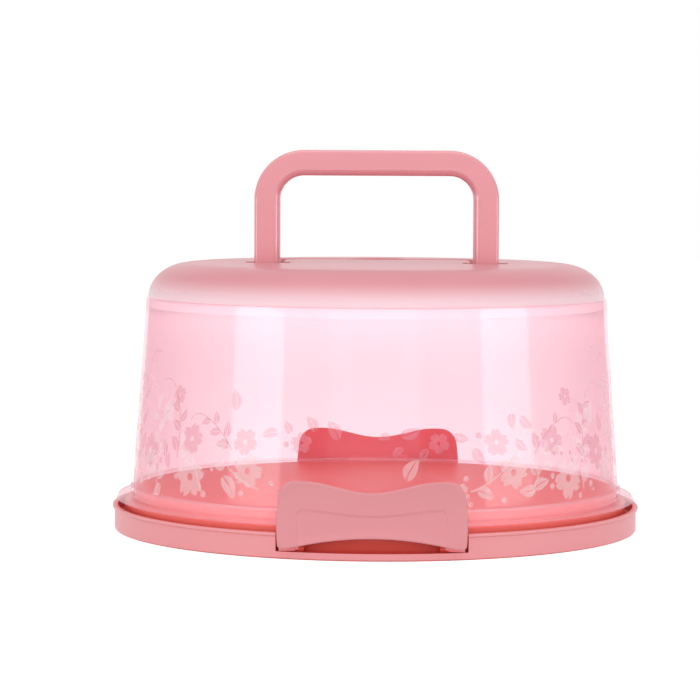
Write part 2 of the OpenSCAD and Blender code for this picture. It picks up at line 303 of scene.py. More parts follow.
def latch_spot(s, t):
    """The place on the latch's face at share s of its half-width and share t of its height."""
    (low_x, low_z), (high_x, high_z) = latch_low(s), latch_high(s)
    x = low_x + (high_x - low_x) * t + LATCH_SIDE_BULGE * abs(s) ** 8 * math.sin(math.pi * t)
    return math.copysign(x, s), low_z + (high_z - low_z) * t


def latch_depth(s, t, edge):
    """How far the rounded edge drops the face at (s, t)."""
    x, z = latch_spot(s, t)
    near = 1.0
    for row in (0, 1):
        ax, az = latch_spot(s, row)
        bx, bz = latch_spot(min(s + SLOPE_STEP, 1.0), row)
        cx, cz = latch_spot(max(s - SLOPE_STEP, -1.0), row)
        near = min(near, abs((bx - cx) * (z - az) - (bz - cz) * (x - ax)) / math.hypot(bx - cx, bz - cz))
    near = min(near, abs(latch_spot(math.copysign(1.0, s), t)[0] - x))
    return edge - math.sqrt(max(edge ** 2 - max(edge - near, 0.0) ** 2, 0.0))


def panel_depth(x, z, low_z):
    """How deep the panel is sunk at a point of the face. It fades out towards the arch."""
    side, top = PANEL_HALF - abs(x), panel_top(x) - z
    inset = min(side, top)
    if max(side, top) < PANEL_CORNER_R:
        inset = PANEL_CORNER_R - math.hypot(PANEL_CORNER_R - side, PANEL_CORNER_R - top)
    return PANEL_DEPTH * eased(inset / PANEL_STEP_W + 0.5) * eased((z - low_z) / PANEL_FADE)


def latch_radius(z):
    """Radius of the latch's outer face at height z. It flares towards the top."""
    return LATCH_R + FLARE * max((z - FLARE_Z) / (LATCH_TOP_Z - FLARE_Z), 0.0) ** 2


def latch_sheet(name, front):
    """The front or the back face of the latch: a grid whose rows follow the arch, the panel and the dip."""
    half = [-x / LATCH_HALF for x in stops(*LATCH_COLUMNS)]
    across = half + [-s for s in reversed(half[:-1])]
    rows = stops(*LATCH_ROWS)
    bpy.ops.mesh.primitive_grid_add(x_subdivisions=len(across) - 1, y_subdivisions=len(rows) - 1, size=2)
    sheet = bpy.context.object
    sheet.name = name
    for vertex in sheet.data.vertices:
        s = across[round((vertex.co.x + 1) / 2 * (len(across) - 1))]
        t = rows[round((vertex.co.y + 1) / 2 * (len(rows) - 1))]
        low_z, high_z = latch_low(s)[1], latch_high(s)[1]
        panel_t = (panel_top(s * LATCH_HALF) - low_z) / (high_z - low_z)
        t += (panel_t - 0.5) * (1 - abs(2 * t - 1)) * eased((1 - abs(s)) / ROW_FADE)
        x, z = latch_spot(s, t)
        if front:
            depth = latch_depth(s, t, LATCH_EDGE) + panel_depth(x, z, low_z)
        else:
            depth = LATCH_T - latch_depth(s, t, LATCH_BACK_EDGE)
        radius = latch_radius(z) - depth
        vertex.co = (x, -math.sqrt(radius ** 2 - x ** 2), z)
    return sheet


def select_only(*pieces):
    """Selects these pieces alone and makes the first one active."""
    bpy.ops.object.select_all(action="DESELECT")
    for piece in pieces:
        piece.select_set(True)
    bpy.context.view_layer.objects.active = pieces[0]


def join(name, *pieces):
    """Joins pieces into the first one and names it."""
    select_only(*pieces)
    bpy.ops.object.join()
    pieces[0].name = name
    return pieces[0]


def combine(piece, operation, *others):
    """Joins other closed shapes to the piece, or cuts them out of it. They are used up."""
    for other in others:
        modifier = piece.modifiers.new("combine", "BOOLEAN")
        modifier.operation = operation
        modifier.solver = "EXACT"
        modifier.object = other
        select_only(piece)
        bpy.ops.object.modifier_apply(modifier=modifier.name)
        bpy.data.objects.remove(other)
    return piece


def settle(piece):
    """Moves the object's place, turn and size into its mesh."""
    select_only(piece)
    bpy.ops.object.transform_apply(location=True, rotation=True, scale=True)
    return piece


def smooth(piece, degrees):
    """Smooth shading that keeps the creases sharper than an angle, and keeps flat faces flat."""
    select_only(piece)
    bpy.ops.object.shade_smooth_by_angle(angle=math.radians(degrees))
    modifier = piece.modifiers.new("weigh", "WEIGHTED_NORMAL")
    modifier.keep_sharp = True
    bpy.ops.object.modifier_apply(modifier=modifier.name)


def rod(name, radius, x0, x1, y, z):
    """A rod along X from x0 to x1."""
    bpy.ops.mesh.primitive_cylinder_add(vertices=ROD_SIDES, radius=radius, depth=x1 - x0,
                                        location=((x0 + x1) / 2, y, z), rotation=(0, math.pi / 2, 0))
    bpy.context.object.name = name
    return settle(bpy.context.object)


latch_plate = join("front_latch_plate", latch_sheet("front_latch_plate", True),
                   latch_sheet("latch_back", False))
bpy.ops.object.mode_set(mode="EDIT")
bpy.ops.mesh.select_all(action="DESELECT")
bpy.ops.mesh.select_mode(type="EDGE")
bpy.ops.mesh.select_non_manifold(extend=False, use_wire=False, use_boundary=True,
                                 use_multi_face=False, use_non_contiguous=False, use_verts=False)
bpy.ops.mesh.bridge_edge_loops()
bpy.ops.mesh.select_all(action="SELECT")
bpy.ops.mesh.remove_doubles(threshold=WELD)
bpy.ops.mesh.normals_make_consistent(inside=False)
bpy.ops.object.mode_set(mode="OBJECT")

# the bead: its four-sided section is a plane's corners, spun about the carrier's axis
bpy.ops.mesh.primitive_plane_add(size=1)
claw = bpy.context.object
for vertex, (radius, z) in zip(claw.data.vertices, (CLAW_SECTION[0], CLAW_SECTION[1],
                                                    CLAW_SECTION[3], CLAW_SECTION[2])):
    vertex.co = Matrix.Rotation(-CLAW_HALF_TURN, 3, "Z") @ Vector((0, -radius * MM, z * MM))
bpy.ops.object.mode_set(mode="EDIT")
bpy.ops.mesh.select_all(action="SELECT")
bpy.ops.mesh.spin(steps=CLAW_STEPS, angle=-2 * CLAW_HALF_TURN, center=(0, 0, 0), axis=(0, 0, 1))
bpy.ops.mesh.select_all(action="SELECT")
bpy.ops.mesh.remove_doubles(threshold=WELD)
bpy.ops.mesh.normals_make_consistent(inside=False)
bpy.ops.object.mode_set(mode="OBJECT")
ears = [rod("ear", EAR_R, x, x + EAR_T, HINGE.y, HINGE.z) for x in (EAR_X, -EAR_X - EAR_T)]
combine(latch_plate, "UNION", claw, *ears)
bores = [rod("bore", EAR_BORE, x, x + EAR_T + 2 * BORE_SPARE, HINGE.y, HINGE.z)
         for x in (EAR_X - BORE_SPARE, -EAR_X - EAR_T - BORE_SPARE)]
combine(latch_plate, "DIFFERENCE", *bores)
smooth(latch_plate, LATCH_CREASE)


def back_painted_light_share(tree, place):
    """1 on the back of the latch, which is polished and painted a deeper red that stands in for red light on
    it, and 0 on its etched front: the distance to the axis, less the flare at that height, tells them apart."""
    axes = add(tree, "ShaderNodeSeparateXYZ", {}, {0: place})
    radius = axis_distance(tree, axes)
    above = add(tree, "ShaderNodeMapRange", {}, {0: axes.outputs[2], 1: FLARE_Z, 2: LATCH_TOP_Z})
    flare = add(tree, "ShaderNodeMath", {"operation": "MULTIPLY"}, {0: above.outputs[0], 1: above.outputs[0]})
    bent = add(tree, "ShaderNodeMath", {"operation": "MULTIPLY"}, {0: flare.outputs[0], 1: FLARE})
    upright = add(tree, "ShaderNodeMath", {"operation": "SUBTRACT"}, {0: radius, 1: bent.outputs[0]})
    middle = LATCH_R - LATCH_T / 2
    return add(tree, "ShaderNodeMapRange", {},
               {0: upright.outputs[0], 1: middle, 2: middle - ETCH_EDGE}).outputs[0]


# the back is polished, and painted a deeper red that stands in for the red light falling on it
latch_plastic = moulded_polypropylene("moulded_polypropylene_latch", LATCH_PINK, LATCH_FLOW, LATCH_ROUGH,
                                      LATCH_GRAIN, LATCH_GRAIN_DEPTH, LATCH_SPECULAR,
                                      [(back_painted_light_share, LATCH_BACK_PAINTED_RED_LIGHT, TRAY_ROUGH)])
finish_with(latch_plate, latch_plastic)
select_only(latch_plate)
bpy.ops.object.duplicate()
rear_plate = bpy.context.object
rear_plate.name = "rear_latch_plate"
rear_plate.rotation_euler.z = math.pi
settle(rear_plate)
for plate, node_name in ((latch_plate, "front_latch"), (rear_plate, "rear_latch")):
    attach(plate, node_name)
    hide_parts(node_name)

# Dome wall: a clear moulding with a breath of pink, a tapered wall with a riser and a flat flange at its
# foot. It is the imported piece. The tint deepens at the sides, where the eye looks along the wall, the
# gloss leaves soft upright streaks of the lamps, and the foot is etched to a slight haze.
CLEAR_TINT = "#F7E3E9"
CLEAR_DEEP = "#EDC8D0"
CLEAR_SHADE_TINT = "#FCF3F7"
CLEAR_FACING = (0.08, 0.9)
CLEAR_WAVE = 30 * MM
CLEAR_WAVE_DEPTH = 0.2 * MM
CLEAR_WAVE_STRENGTH = 0.15
FOOT_TOP_Z = 22 * MM
FOOT_FADE = 0.5 * MM
FOOT_HAZE = 0.17
FOOT_ROUGH = 0.35
CLEAR_GLOSS = 0.4
CLEAR_GLOSS_ROUGH = 0.06
# a thin wall's second face undoes the bend of the first, so the wall is drawn with hardly any bend
THIN_WALL_IOR = 1.001


def clear_moulding():
    """Clear moulded plastic: a tinted body under a gloss. Light that casts shadows passes straight."""
    material = empty_material("clear_moulded_plastic")
    tree = material.node_tree
    place = add(tree, "ShaderNodeTexCoord", {}, {}).outputs["Object"]
    waves = add(tree, "ShaderNodeTexNoise", {}, {"Vector": place, "Scale": 1 / CLEAR_WAVE, "Detail": 1.0})
    relief = add(tree, "ShaderNodeBump", {}, {
        "Strength": CLEAR_WAVE_STRENGTH, "Distance": CLEAR_WAVE_DEPTH, "Height": waves.outputs[0]})
    facing = add(tree, "ShaderNodeLayerWeight", {}, {"Blend": 0.5})
    along = add(tree, "ShaderNodeMapRange", {},
                {0: facing.outputs["Facing"], 1: CLEAR_FACING[0], 2: CLEAR_FACING[1]})
    tint = add(tree, "ShaderNodeMix", {"data_type": "RGBA"},
               {0: along.outputs[0], 6: linear(CLEAR_TINT), 7: linear(CLEAR_DEEP)})
    wall = add(tree, "ShaderNodeBsdfPrincipled", {}, {
        "Base Color": tint.outputs[2], "Roughness": 0.0, "Normal": relief.outputs[0],
        "Transmission Weight": 1.0, "IOR": THIN_WALL_IOR,
        "Coat Weight": CLEAR_GLOSS, "Coat Roughness": CLEAR_GLOSS_ROUGH, "Coat IOR": POLYPROPYLENE_IOR})
    height = add(tree, "ShaderNodeSeparateXYZ", {}, {0: place}).outputs[2]
    etched = add(tree, "ShaderNodeMapRange", {},
                 {0: height, 1: FOOT_TOP_Z - FOOT_FADE, 2: FOOT_TOP_Z, 3: FOOT_HAZE, 4: 0.0})
    haze = add(tree, "ShaderNodeBsdfPrincipled", {}, {
        "Base Color": tint.outputs[2], "Roughness": FOOT_ROUGH, "Normal": relief.outputs[0]})
    moulded = add(tree, "ShaderNodeMixShader", {},
                  {0: etched.outputs[0], 1: wall.outputs[0], 2: haze.outputs[0]})
    passing = add(tree, "ShaderNodeBsdfTransparent", {}, {"Color": linear(CLEAR_SHADE_TINT)})
    path = add(tree, "ShaderNodeLightPath", {}, {})
    both = add(tree, "ShaderNodeMixShader", {},
               {0: path.outputs["Is Shadow Ray"], 1: moulded.outputs[0], 2: passing.outputs[0]})
    add(tree, "ShaderNodeOutputMaterial", {}, {"Surface": both.outputs[0]})
    return material


clear_plastic = clear_moulding()
finish_with(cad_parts["dome_wall"], clear_plastic)

# Print: leaves, five-petal flowers and curling stems in pale pink ink, screen-printed on the clear wall's
# outer face. Each is a film of ink drawn flat, then wrapped round the wall. They are thick at the foot of
# the wall and rise at the sides, with little in the middle of the front and the back.
INK_PINK = "#FFFBFC"
INK_SHADE = "#FFF3F5"
INK_COVER = 0.23
INK_SPREAD = 0.08
INK_THROUGH = 0.2
INK_ROUGH = 0.6
INK_CREASE = 40
INK_MESH = 0.5 * MM
INK_LIFT = 0.03 * MM
INK_T = 0.05 * MM
WALL_FOOT = (120.05 * MM, 22.6 * MM)
WALL_SEAM = (113.45 * MM, 114 * MM)
PRINT_R = 117 * MM
LEAF_L = 11 * MM
LEAF_HALF = 2.9 * MM
LEAF_VEIN = 0.35 * MM
PETAL_L = 8 * MM
PETAL_HALF = 3.1 * MM
BUD_L = 3.4 * MM
BUD_HALF = 1.5 * MM
STEM_W = 0.9 * MM
STEM_STEPS = 44
CURL_FROM = 0.55
LEAFY_SHARE = 0.62
LEAF_ANGLE = math.radians(48)


def drawn(name, columns, rows, place):
    """A flat grid whose corners go where place(u, v) says, for shares u along and v across."""
    bpy.ops.mesh.primitive_grid_add(x_subdivisions=columns, y_subdivisions=rows, size=2)
    grid = bpy.context.object
    grid.name = name
    for vertex in grid.data.vertices:
        vertex.co = (*place((vertex.co.x + 1) / 2, (vertex.co.y + 1) / 2), 0)
    return grid


def leaf_half(side):
    """Half of a pointed leaf along X, beside the gap that stands for its vein."""
    def place(u, v):
        edge = LEAF_HALF * math.sin(math.pi * u ** 0.8) ** 0.9
        vein = LEAF_VEIN * (1 - 0.7 * u)
        low, high = (vein, vein + edge) if side > 0 else (-vein - edge, -vein)
        return u * LEAF_L, low + (high - low) * v + 0.8 * MM * math.sin(math.pi * u)
    return drawn("leaf", 9, 2, place)


def petal(turn):
    """One petal of a flower, at an angle to X, with a small nick in its end."""
    def place(u, v):
        across = 2 * v - 1
        half = PETAL_HALF * math.sin(math.pi * min(0.06 + 0.88 * u ** 1.25, 1.0)) ** 0.75
        along = PETAL_L * (0.16 + 0.84 * u) - u ** 6 * 1.1 * MM * (1 - abs(across)) * 1.6
        x, y = along, across * half
        return x * math.cos(turn) - y * math.sin(turn), x * math.sin(turn) + y * math.cos(turn)
    return drawn("petal", 7, 4, place)


def bud_spot(u, v):
    """A small drop along X."""
    return BUD_L * u, BUD_HALF * (2 * v - 1) * math.sin(math.pi * u ** 0.9) ** 0.7


def copied(motif, x, y, turn, size):
    """A copy of a flat motif with its own mesh."""
    twin = motif.copy()
    twin.data = motif.data.copy()
    bpy.context.scene.collection.objects.link(twin)
    twin.location = (x, y, 0)
    twin.rotation_euler.z = turn
    twin.scale = (size, size, 1)
    return twin


leaf = join("leaf", leaf_half(1), leaf_half(-1))
flower = join("flower", *(petal(2 * math.pi / 5 * k) for k in range(5)))
bud = drawn("bud", 6, 3, bud_spot)
motifs = []
taken = []


def free(x, y, room):
    """Whether nothing printed so far is within a circle, which is then taken."""
    if any(math.hypot(x - a, y - b) < room + c for a, b, c in taken):
        return False
    taken.append((x, y, room))
    return True


def stem(x, y, heading, length, bend, curl):
    """A tapering stem from (x, y) that bends evenly and ends in a curl. Returns its points and headings."""
    points = [(x, y, heading)]
    for k in range(STEM_STEPS):
        share = k / STEM_STEPS
        heading += (bend + curl * max(share - CURL_FROM, 0.0) ** 1.5 * 3.6) / STEM_STEPS
        x += length / STEM_STEPS * math.cos(heading)
        y += length / STEM_STEPS * math.sin(heading)
        points.append((x, y, heading))

    def place(u, v):
        px, py, turn = points[round(u * STEM_STEPS)]
        half = STEM_W / 2 * (1 - 0.55 * u) * (2 * v - 1)
        return px - half * math.sin(turn), py + half * math.cos(turn)
    motifs.append(drawn("stem", STEM_STEPS, 1, place))
    return points


def spray(side, azimuth, height, heading, length, bend, curl, leaves, size):
    """A stem with leaves on both sides. side is 1 to the right of the front and -1 to the left."""
    turn = heading if side > 0 else math.pi - heading
    points = stem(side * math.radians(azimuth) * PRINT_R, height, turn, length, side * bend, side * curl)
    for k in range(leaves):
        x, y, along = points[round(STEM_STEPS * LEAFY_SHARE * (k + 0.6) / leaves)]
        hand = 1 if k % 2 else -1
        scale = size * (1 - 0.4 * k / leaves)
        angle = along + hand * LEAF_ANGLE
        reach = 0.5 * LEAF_L * scale
        if free(x + reach * math.cos(angle), y + reach * math.sin(angle), 0.34 * LEAF_L * scale):
            motifs.append(copied(leaf, x + 0.5 * MM * math.cos(angle), y + 0.5 * MM * math.sin(angle),
                                 angle, scale))


# a spray's azimuth, height, heading, length, bend, curl, leaves and size, in degrees and millimetres
SPRAYS = ((24, 30, 15, 46, 60, -420, 5, 0.85), (40, 27, 70, 44, -50, 400, 5, 0.9),
          (58, 27, 100, 62, -45, -430, 7, 0.95), (75, 28, 82, 78, 40, 430, 8, 0.95),
          (97, 27, 104, 70, -50, -420, 7, 0.95), (118, 27, 75, 52, 55, 400, 6, 0.9),
          (138, 28, 120, 40, 40, 420, 5, 0.85))
# a flower's azimuth, height and size
FLOWERS = ((31, 38, 1.0), (48, 33, 1.25), (66, 36, 1.05), (86, 45, 0.9), (90, 74, 0.7), (108, 34, 1.2),
           (128, 36, 1.05), (146, 32, 0.95), (58, 62, 0.7), (122, 60, 0.65), (17, 29, 0.75), (162, 30, 0.75))
# loose leaves and buds: their heights in millimetres, and the sides of the carrier get more than its front
SCATTER_SEED = 11
SCATTER_TRIES = 480
SCATTER_FOOT = 25
SCATTER_RISE = 3
SCATTER_SIDE_RISE = 4
SCATTER_TOP = 96
SCATTER_FRONT = 0.15
SCATTER_SIZE = (0.7, 1.25)
LEAF_CHANCE = 0.8
for side in (1, -1):
    for azimuth, height, size in FLOWERS:
        x, y = side * math.radians(azimuth + 2 * side) * PRINT_R, height * MM
        if free(x, y, 0.86 * PETAL_L * size):
            motifs.append(copied(flower, x, y, math.radians(azimuth * 7 * side), size))
    for azimuth, height, heading, length, bend, curl, leaves, size in SPRAYS:
        spray(side, azimuth - 2 * side, height * MM, math.radians(heading), length * MM,
              math.radians(bend), math.radians(curl), leaves, size)
scatter = random.Random(SCATTER_SEED)
for _ in range(SCATTER_TRIES):
    azimuth = scatter.uniform(-180, 180)
    thick = abs(math.sin(math.radians(azimuth)))
    height = SCATTER_FOOT + scatter.expovariate(1) * (SCATTER_RISE + SCATTER_SIDE_RISE * thick)
    if scatter.random() > SCATTER_FRONT + thick or height > SCATTER_TOP:
        continue
    size = scatter.uniform(*SCATTER_SIZE) * (1.1 - height / 200)
    x, y, turn = math.radians(azimuth) * PRINT_R, height * MM, scatter.uniform(0, 2 * math.pi)
    kind, length = (leaf, LEAF_L) if scatter.random() < LEAF_CHANCE else (bud, BUD_L)
    reach = 0.5 * length * size
    centre = (x + reach * math.cos(turn), y + reach * math.sin(turn))
    if y - 1.05 * reach > WALL_FOOT[1] and free(*centre, 0.46 * length * size):
        motifs.append(copied(kind, x, y, turn, size))
for pattern in (leaf, flower, bud):
    bpy.data.objects.remove(pattern)
floral = settle(join("floral_print", *motifs))
for vertex in floral.data.vertices:
    share = (vertex.co.y - WALL_FOOT[1]) / (WALL_SEAM[1] - WALL_FOOT[1])
    radius = WALL_FOOT[0] + (WALL_SEAM[0] - WALL_FOOT[0]) * share + INK_LIFT
    around = vertex.co.x / PRINT_R
    vertex.co = (radius * math.sin(around), -radius * math.cos(around), vertex.co.y)
film = floral.modifiers.new("film", "SOLIDIFY")
film.thickness = INK_T
film.offset = 1
select_only(floral)
bpy.ops.object.modifier_apply(modifier=film.name)
bpy.ops.object.shade_smooth_by_angle(angle=math.radians(INK_CREASE))

# the ink: a thin pale film that lets the wall show through, a little thicker and thinner with the screen
ink = empty_material("screen_printed_ink")
tree = ink.node_tree
place = add(tree, "ShaderNodeTexCoord", {}, {}).outputs["Object"]
mesh_marks = add(tree, "ShaderNodeTexNoise", {}, {"Vector": place, "Scale": 1 / INK_MESH, "Detail": 2.0})
cover = add(tree, "ShaderNodeMapRange", {},
            {0: mesh_marks.outputs[0], 3: INK_COVER - INK_SPREAD, 4: INK_COVER + INK_SPREAD})
tone = add(tree, "ShaderNodeMix", {"data_type": "RGBA"},
           {0: mesh_marks.outputs[0], 6: linear(INK_PINK), 7: linear(INK_SHADE)})
body = add(tree, "ShaderNodeBsdfPrincipled", {},
           {"Base Color": tone.outputs[2], "Roughness": INK_ROUGH, "Specular IOR Level": 0.0})
glow = add(tree, "ShaderNodeBsdfTranslucent", {}, {"Color": tone.outputs[2]})
film = add(tree, "ShaderNodeMixShader", {}, {0: INK_THROUGH, 1: body.outputs[0], 2: glow.outputs[0]})
bare = add(tree, "ShaderNodeBsdfTransparent", {}, {})
both = add(tree, "ShaderNodeMixShader", {}, {0: cover.outputs[0], 1: bare.outputs[0], 2: film.outputs[0]})
add(tree, "ShaderNodeOutputMaterial", {}, {"Surface": both.outputs[0]})
finish_with(floral, ink)
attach(floral, "lid")

# Top cap: an opaque pink moulding pressed into the wall's upper edge. Its shoulder is a quarter ellipse
# round a flat top. A channel, two foot pockets and a finger scoop take the folded handle and hang inside
# as a trough. Near the seam the shoulder carries a painted glow in paler pink, and the lip below it is
# painted palest of all, a painted glow too.
CAP_PINK = "#DC969D"
CAP_FLOW = "#D89098"
CAP_ROUGH = 0.3
CAP_GRAIN = 0.6 * MM
CAP_GRAIN_DEPTH = 0.012 * MM
CAP_SPECULAR = 0.12
CAP_CREASE = 35
# painted glow: the paler pink of the shoulder near the seam
CAP_PAINTED_GLOW = "#F6D4DB"
PAINTED_GLOW_ROUGH = 0.26
PAINTED_GLOW_H = 12 * MM
# painted glow: the near-white lip below the seam
LIP_PAINTED_GLOW = "#EEE9EA"
LIP_FADE = 0.5 * MM
CAP_PASSES = 0.65
CAP_TOP_Z = 130.8 * MM
CAP_SEAM_Z = 114 * MM
CAP_FLAT_R = 91.5 * MM
CAP_R = 112.5 * MM
CAP_T = 2.2 * MM
CAP_LIP_R = 111.55 * MM
CAP_LIP_H = 5 * MM
LIP_FOOT_Z = CAP_SEAM_Z - CAP_LIP_H
CAP_SIDES = 180
SHOULDER_STEPS = 20
INSIDE_STEPS = 14
BAR_W = 12.6 * MM
BAR_D = 14 * MM
HANDLE_HALF = 60.2 * MM
HANDLE_TOP_Z = 186.3 * MM
HANDLE_BEND_R = 24.4 * MM
PIVOT_Z = 123.8 * MM
LEG_X = 53.9 * MM
FOLD_REACH = HANDLE_TOP_Z - PIVOT_Z
CHANNEL_GAP = 0.8 * MM
CHANNEL_DEPTH = 14.5 * MM
TROUGH_T = 2 * MM
TROUGH_DROP = 0.3 * MM
CHANNEL_FLOOR_Z = CAP_TOP_Z - CHANNEL_DEPTH
TROUGH_FLOOR_Z = CHANNEL_FLOOR_Z - TROUGH_T
TROUGH_TOP_Z = CAP_TOP_Z - TROUGH_DROP
CORNER_STEPS = 16
POCKET_HALF = 10.8 * MM
POCKET_Y = 8.2 * MM
POCKET_WALL = TROUGH_T + 0.6 * MM
SCOOP_R = 14.4 * MM
SCOOP_Y = 60.5 * MM
SCOOP_DEPTH = 5 * MM
SCOOP_SIDES = 64
MOUTH_ROUND = 0.7 * MM
MOUTH_STEPS = 3


def turned(name, points, sides):
    """A turned shell: a circle at the first (radius, height), extruded and resized through the others."""
    bpy.ops.mesh.primitive_circle_add(vertices=sides, radius=points[0][0], location=(0, 0, points[0][1]))
    shell = settle(bpy.context.object)
    shell.name = name
    bpy.ops.object.mode_set(mode="EDIT")
    bpy.ops.mesh.select_all(action="SELECT")
    for (r0, z0), (r1, z1) in zip(points, points[1:]):
        bpy.ops.mesh.extrude_region_move(TRANSFORM_OT_translate={"value": (0, 0, z1 - z0)})
        bpy.ops.transform.resize(value=(r1 / r0, r1 / r0, 1), center_override=(0, 0, z1))
    bpy.ops.mesh.select_all(action="SELECT")
    bpy.ops.mesh.fill_holes(sides=0)
    bpy.ops.mesh.select_all(action="SELECT")
    bpy.ops.mesh.normals_make_consistent(inside=False)
    bpy.ops.object.mode_set(mode="OBJECT")
    return shell


def round_edges(piece, radius, segments, chosen):
    """Rounds the edges whose two ends pass a test."""
    select_only(piece)
    bpy.ops.object.mode_set(mode="EDIT")
    bpy.ops.mesh.select_mode(type="EDGE")
    bpy.ops.mesh.select_all(action="DESELECT")
    bpy.ops.object.mode_set(mode="OBJECT")
    corners = piece.data.vertices
    for edge in piece.data.edges:
        edge.select = chosen(*(corners[k].co for k in edge.vertices))
    bpy.ops.object.mode_set(mode="EDIT")
    bpy.ops.mesh.bevel(offset=radius, segments=segments)
    bpy.ops.object.mode_set(mode="OBJECT")


def block(name, half_x, y0, y1, z0, z1, far_round=0.0, x=0.0):
    """A block about x, whose two upright edges at y1 can be rounded."""
    bpy.ops.mesh.primitive_cube_add(size=1, location=(x, (y0 + y1) / 2, (z0 + z1) / 2),
                                    scale=(2 * half_x, y1 - y0, z1 - z0))
    solid = settle(bpy.context.object)
    solid.name = name
    if far_round:
        round_edges(solid, far_round, CORNER_STEPS,
                    lambda a, b: abs(a.z - b.z) > MM and min(a.y, b.y) > y1 - MM)
    return solid


def folded_handle(name, gap, z0, z1):
    """The room of the folded handle's U, wider by gap all round."""
    outer = block(name, HANDLE_HALF + gap, -BAR_D / 2 - gap, FOLD_REACH + gap, z0, z1, HANDLE_BEND_R + gap)
    inner = block("inner", HANDLE_HALF - BAR_W - gap, -2 * BAR_D, FOLD_REACH - BAR_W - gap,
                  z0 - MM, z1 + MM, HANDLE_BEND_R - BAR_W - gap)
    return combine(outer, "DIFFERENCE", inner)


def quarter(half_x, half_z, steps):
    """(radius, height) along a quarter ellipse round the cap's shoulder, from the top down."""
    angles = [math.pi / 2 * (1 - k / steps) for k in range(steps + 1)]
    return [(CAP_FLAT_R + half_x * math.cos(a), CAP_SEAM_Z + half_z * math.sin(a)) for a in angles]


shoulder = quarter(CAP_R - CAP_FLAT_R, CAP_TOP_Z - CAP_SEAM_Z, SHOULDER_STEPS)
inside = quarter(CAP_LIP_R - CAP_T - CAP_FLAT_R, CAP_TOP_Z - CAP_SEAM_Z - CAP_T, INSIDE_STEPS)
lip = [(CAP_LIP_R, CAP_SEAM_Z), (CAP_LIP_R, LIP_FOOT_Z), (CAP_LIP_R - CAP_T, LIP_FOOT_Z)]
cap = turned("top_cap_shell", shoulder + lip + inside[::-1], CAP_SIDES)
trough = folded_handle("trough", CHANNEL_GAP + TROUGH_T, TROUGH_FLOOR_Z, TROUGH_TOP_Z)
channel = folded_handle("channel", CHANNEL_GAP, CHANNEL_FLOOR_Z, CAP_TOP_Z + MM)
for side in (-1, 1):
    combine(trough, "UNION", block("pocket", POCKET_HALF + POCKET_WALL, -POCKET_Y - POCKET_WALL,
                                   POCKET_Y + POCKET_WALL, TROUGH_FLOOR_Z, TROUGH_TOP_Z, x=side * LEG_X))
    combine(channel, "UNION", block("pocket", POCKET_HALF, -POCKET_Y, POCKET_Y,
                                    CHANNEL_FLOOR_Z, CAP_TOP_Z + MM, x=side * LEG_X))
for target, radius, depth, top in ((trough, SCOOP_R + TROUGH_T, SCOOP_DEPTH + TROUGH_T, -TROUGH_DROP),
                                   (channel, SCOOP_R, SCOOP_DEPTH, MM)):
    bpy.ops.mesh.primitive_cylinder_add(vertices=SCOOP_SIDES, radius=radius, depth=depth + top,
                                        location=(0, SCOOP_Y, CAP_TOP_Z + (top - depth) / 2))
    combine(target, "UNION", settle(bpy.context.object))
combine(cap, "UNION", trough)
combine(cap, "DIFFERENCE", channel)
round_edges(cap, MOUTH_ROUND, MOUTH_STEPS, lambda a, b: all(
    abs(end.z - CAP_TOP_Z) < WELD and end.xy.length < CAP_FLAT_R - MM for end in (a, b)))
smooth(cap, CAP_CREASE)
cap_plastic = moulded_polypropylene(
    "moulded_polypropylene_cap", CAP_PINK, CAP_FLOW, CAP_ROUGH, CAP_GRAIN, CAP_GRAIN_DEPTH, CAP_SPECULAR,
    [(height_share(CAP_SEAM_Z + PAINTED_GLOW_H, CAP_SEAM_Z), CAP_PAINTED_GLOW, PAINTED_GLOW_ROUGH),
     (height_share(CAP_SEAM_Z, CAP_SEAM_Z - LIP_FADE, "LINEAR"), LIP_PAINTED_GLOW, PAINTED_GLOW_ROUGH)],
    CAP_PASSES)
finish_with(cap, cap_plastic)
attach(cap, "lid")
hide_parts("top_cap")

# Handle: a solid bar moulded as a U in the same pink polypropylene. Its outer edges are tight and its
# inner edges round, for the fingers. Each foot ends in a half-round heel about its steel pin.
HANDLE_PINK = "#E4979E"
HANDLE_FLOW = "#E19199"
HANDLE_SPECULAR = 0.9
HANDLE_ROUGH = 0.15
HANDLE_GRAIN = 0.6 * MM
HANDLE_GRAIN_DEPTH = 0.01 * MM
HANDLE_CREASE = 40
INNER_ROUND = 3.8 * MM
OUTER_ROUND = 1.9 * MM
ROUND_STEPS = 8
BEND_X = HANDLE_HALF - HANDLE_BEND_R
BEND_STEPS = 28
LEG_DROP = PIVOT_Z - HANDLE_TOP_Z + HANDLE_BEND_R
HEEL_TURN = math.radians(86)
HEEL_STEPS = 8
PIN_BORE_R = 2.05 * MM
PIN_HALF_L = 13.3 * MM

bar_z = HANDLE_TOP_Z - BAR_W / 2
bpy.ops.mesh.primitive_plane_add(size=1, location=(0, 0, bar_z), rotation=(0, math.pi / 2, 0))
handle = settle(bpy.context.object)
handle.name = "carry_handle"
bpy.ops.object.mode_set(mode="EDIT")
bpy.ops.mesh.select_all(action="SELECT")
bpy.ops.transform.resize(value=(1, BAR_D, BAR_W), center_override=(0, 0, bar_z))
bpy.ops.object.mode_set(mode="OBJECT")
for edge_z, radius in ((1, OUTER_ROUND), (-1, INNER_ROUND)):
    bpy.ops.object.mode_set(mode="EDIT")
    bpy.ops.mesh.select_mode(type="VERT")
    bpy.ops.mesh.select_all(action="DESELECT")
    bpy.ops.object.mode_set(mode="OBJECT")
    for vertex in handle.data.vertices:
        vertex.select = abs((vertex.co.z - bar_z) * edge_z - BAR_W / 2) < WELD
    bpy.ops.object.mode_set(mode="EDIT")
    bpy.ops.mesh.bevel(offset=radius, segments=ROUND_STEPS, affect="VERTICES")
    bpy.ops.object.mode_set(mode="OBJECT")
